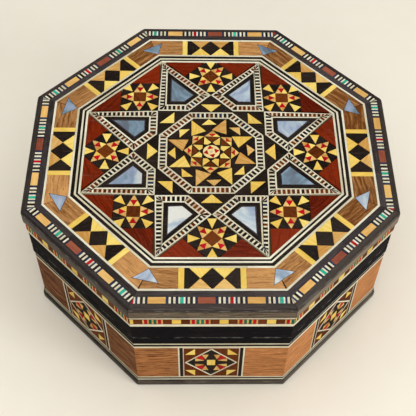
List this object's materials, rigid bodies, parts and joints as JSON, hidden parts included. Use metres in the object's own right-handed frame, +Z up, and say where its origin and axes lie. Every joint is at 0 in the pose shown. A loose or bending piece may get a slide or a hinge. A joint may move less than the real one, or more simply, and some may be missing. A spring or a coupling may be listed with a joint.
{
  "type": "inlaid wooden box",
  "caption": "Octagonal wooden box with a hinged lid, covered in geometric marquetry with mother-of-pearl, velvet-lined inside.",
  "frame": {"origin": "centre of the underside, on the plane that the box stands on", "axes": "+Z up, +Y to the back where the hinges are, +X to the right seen from the front"},
  "size_m": [0.2, 0.2, 0.0864],
  "materials": {
    "plywood": "satin",
    "felt": "matt",
    "dark_moulding": "lacquered",
    "board_wood": "satin",
    "bone": "polished",
    "ebony": "lacquered",
    "walnut": "lacquered",
    "lemonwood": "lacquered",
    "redwood": "lacquered",
    "pearl": "polished",
    "marquetry": "lacquered",
    "black_lacquer": "gloss",
    "velvet": "pile",
    "brass": "worn"
  },
  "bodies": {
    "box": {"floor_panel": "plywood", "underside_felt": "felt", "base_moulding": "dark_moulding", "lower_white_lines": "bone", "lower_dark_line": "ebony", "upper_white_lines": "bone", "upper_dark_line": "ebony", "side_walnut": "walnut", "side_mosaics": "marquetry", "side_cream_frames": "bone", "side_black_lines": "ebony", "side_white_lines": "bone", "box_rim": "black_lacquer", "box_wall_lining": "velvet", "floor_pad": "velvet", "hinge_leaves_lower": "brass", "hinge_pins": "brass", "hinge_screws_lower": "brass", "wall_board_1": "board_wood", "wall_board_2": "board_wood", "wall_board_3": "board_wood", "wall_board_4": "board_wood", "wall_board_5": "board_wood", "wall_board_6": "board_wood", "wall_board_7": "board_wood", "wall_board_8": "board_wood"},
    "lid": {"lid_boards": "board_wood", "lid_rim": "black_lacquer", "lid_moulding": "dark_moulding", "lid_panel": "plywood", "lid_edge_white_lines": "bone", "lid_edge_coloured_strip": "marquetry", "lid_wall_lining": "velvet", "lid_pad": "velvet", "tick_border": "marquetry", "dark_border": "ebony", "outer_white_line": "bone", "walnut_border": "walnut", "crossbars": "lemonwood", "hourglass_panels": "marquetry", "corner_pearls": "pearl", "inner_white_lines": "bone", "inner_ebony_lines": "ebony", "kite_ladders": "marquetry", "kite_ebony": "ebony", "kite_pearls": "pearl", "rosette_tiles": "marquetry", "red_triangles": "redwood", "ebony_ground": "ebony", "light_triangles": "lemonwood", "centre_ladder": "marquetry", "centre_star_panel": "marquetry", "centre_rosette": "marquetry", "hinge_leaves_upper": "brass", "hinge_screws_upper": "brass"}
  },
  "joints": [
    {"name": "lid_hinge", "type": "hinge", "parent": "box", "child": "lid", "pos_m": [0, 0.0985, 0.0554], "axis": [-1, 0, 0], "range_deg": [0, 100]}
  ]
}
